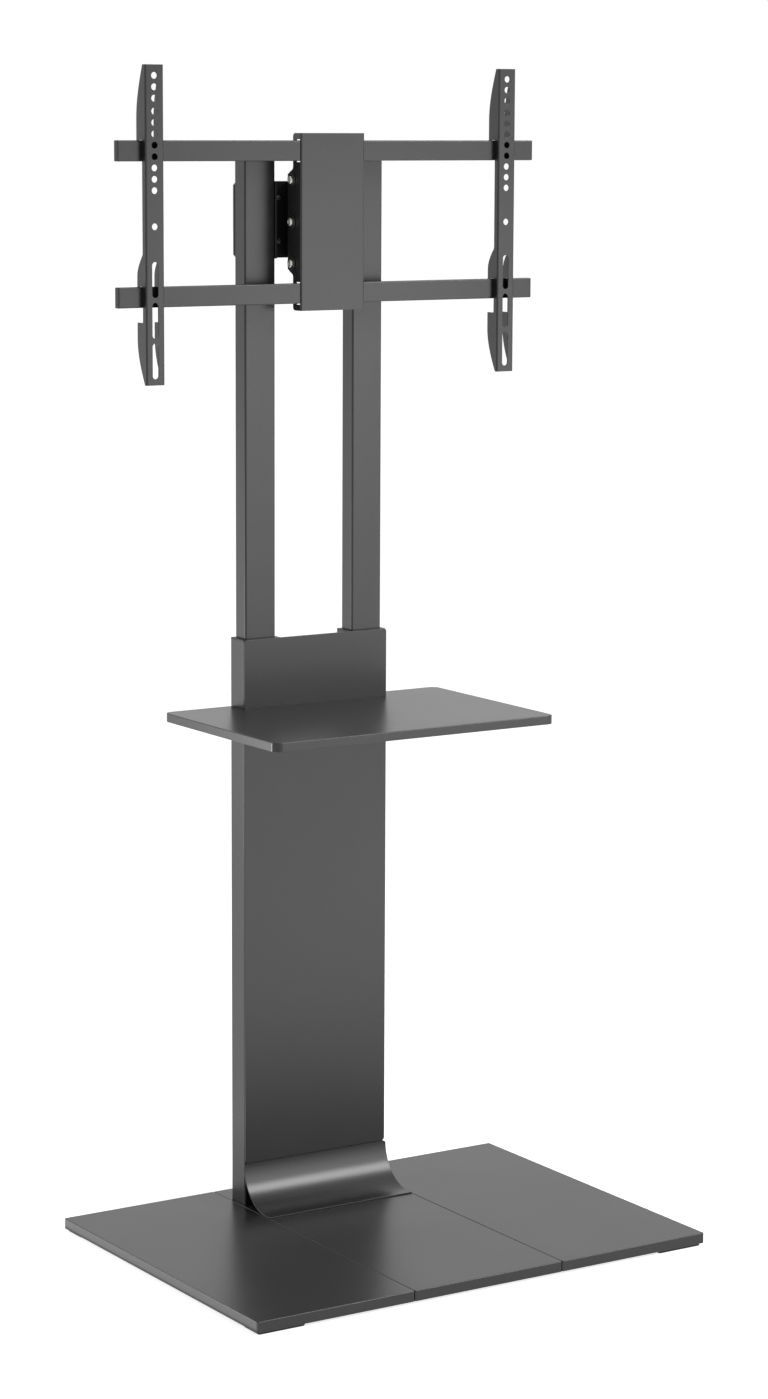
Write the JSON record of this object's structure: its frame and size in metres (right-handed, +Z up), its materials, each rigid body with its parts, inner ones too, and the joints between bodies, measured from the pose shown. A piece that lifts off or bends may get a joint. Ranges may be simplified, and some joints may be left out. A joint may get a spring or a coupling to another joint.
{
  "type": "tv stand with mount",
  "caption": "Television floor stand: folded steel base, column with a shelf, and a head that slides, swivels and tilts, with rails and sliding brackets for the screen.",
  "frame": {"origin": "on the floor under the middle of the base", "axes": "+Z up along the column, +X along the rails to the right as seen from the screen side, -Y towards the screen and the viewer"},
  "size_m": [0.73, 0.536, 1.6325],
  "materials": {
    "powder_coat": "satin anthracite powder coat",
    "black_coat": "black powder coat",
    "black_plastic": "matt moulded",
    "pad_rubber": "matt moulded",
    "zinc_steel": "bright zinc"
  },
  "bodies": {
    "stand": {"base_panel_left": "powder_coat", "base_panel_centre": "powder_coat", "base_panel_right": "powder_coat", "base_cove": "powder_coat", "base_bar_front": "powder_coat", "base_bar_rear": "powder_coat", "foot_plate": "powder_coat", "floor_pads": "pad_rubber", "base_screws": "zinc_steel", "centre_bolts": "zinc_steel", "cove_screws": "zinc_steel", "column_bolts": "zinc_steel", "sleeve_left": "powder_coat", "sleeve_right": "powder_coat", "sleeve_bush_left": "black_plastic", "sleeve_bush_right": "black_plastic", "column_brace_low": "powder_coat", "column_brace_mid": "powder_coat", "column_brace_top": "powder_coat", "shelf_beam": "powder_coat", "lower_front_panel": "powder_coat", "upper_front_panel": "powder_coat", "panel_screws": "zinc_steel", "post_left": "powder_coat", "post_right": "powder_coat", "post_cap_left": "black_plastic", "post_cap_right": "black_plastic", "post_bolts": "zinc_steel", "shelf_tray": "powder_coat", "shelf_carrier": "powder_coat", "shelf_screws": "zinc_steel", "carrier_bolts": "zinc_steel"},
    "carriage": {"carriage_beam": "black_coat", "clamp_plate": "powder_coat", "clamp_bolts": "zinc_steel", "clamp_nuts": "zinc_steel", "beam_bolts": "zinc_steel", "swivel_pin": "zinc_steel", "swivel_nut": "zinc_steel"},
    "swivel": {"tilt_yoke": "black_coat", "swivel_washers": "black_plastic", "pivot_bolts": "zinc_steel", "pivot_washers": "black_plastic", "pivot_nuts": "zinc_steel"},
    "head": {"head_channel": "powder_coat", "rail_top": "powder_coat", "rail_bottom": "powder_coat", "rail_end_caps": "black_plastic", "rail_screws": "zinc_steel", "lock_bolts": "zinc_steel", "lock_washers": "black_plastic", "lock_nuts": "zinc_steel"},
    "bracket_left": {"bracket_left": "powder_coat"},
    "bracket_right": {"bracket_right": "powder_coat"}
  },
  "joints": [
    {"name": "carriage_height", "type": "slide", "parent": "stand", "child": "carriage", "axis": [0, 0, 1], "range_m": [-0.4, 0.03]},
    {"name": "head_swivel", "type": "hinge", "parent": "carriage", "child": "swivel", "pos_m": [0, 0.196, 1.423], "axis": [0, 0, 1], "range_deg": [-10, 10]},
    {"name": "head_tilt", "type": "hinge", "parent": "swivel", "child": "head", "pos_m": [0, 0.161, 1.421], "axis": [1, 0, 0], "range_deg": [-5, 8]},
    {"name": "bracket_left_slide", "type": "slide", "parent": "head", "child": "bracket_left", "axis": [-1, 0, 0], "range_m": [-0.1355, 0.0145]},
    {"name": "bracket_right_slide", "type": "slide", "parent": "head", "child": "bracket_right", "axis": [1, 0, 0], "range_m": [-0.1355, 0.0145]}
  ]
}
